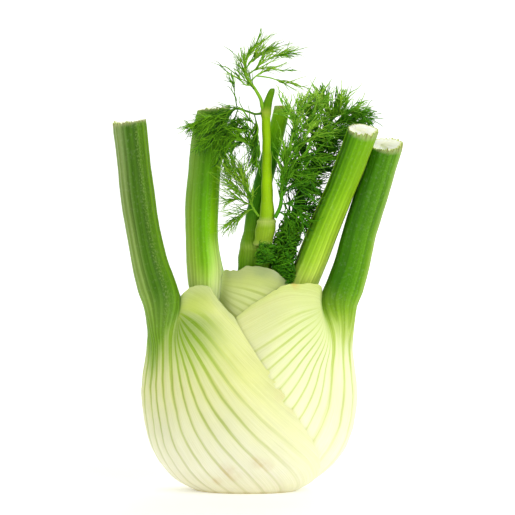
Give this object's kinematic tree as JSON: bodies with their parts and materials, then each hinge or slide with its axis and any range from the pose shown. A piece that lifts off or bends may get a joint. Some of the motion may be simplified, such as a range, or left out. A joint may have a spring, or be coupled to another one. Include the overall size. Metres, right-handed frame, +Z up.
{
  "type": "fennel bulb",
  "caption": "Florence fennel bulb standing on its cut base, with ribbed overlapping leaf sheaths, trimmed green stalks and feathery fronds.",
  "frame": {"origin": "middle of the flat cut base, on the surface it stands on", "axes": "+Z up through the bulb, +X to the right across the two ranks of leaves, -Y towards the viewer"},
  "size_m": [0.1334, 0.0704, 0.2089],
  "materials": {
    "outer_leaf": "satin",
    "inner_leaf": "satin",
    "heart": "satin",
    "shoot": "satin",
    "frond": "matte",
    "frond_dark": "matte"
  },
  "bodies": {
    "root": {"leaf_outer_left": "outer_leaf", "leaf_outer_right": "outer_leaf", "leaf_inner_left": "inner_leaf", "leaf_inner_right": "inner_leaf", "heart": "heart", "shoot": "shoot", "frond_top": "frond", "frond_left_upper": "frond", "frond_left_lower": "frond", "frond_right_slender": "frond", "frond_right_broad": "frond_dark", "frond_curly": "frond_dark"}
  },
  "joints": []
}
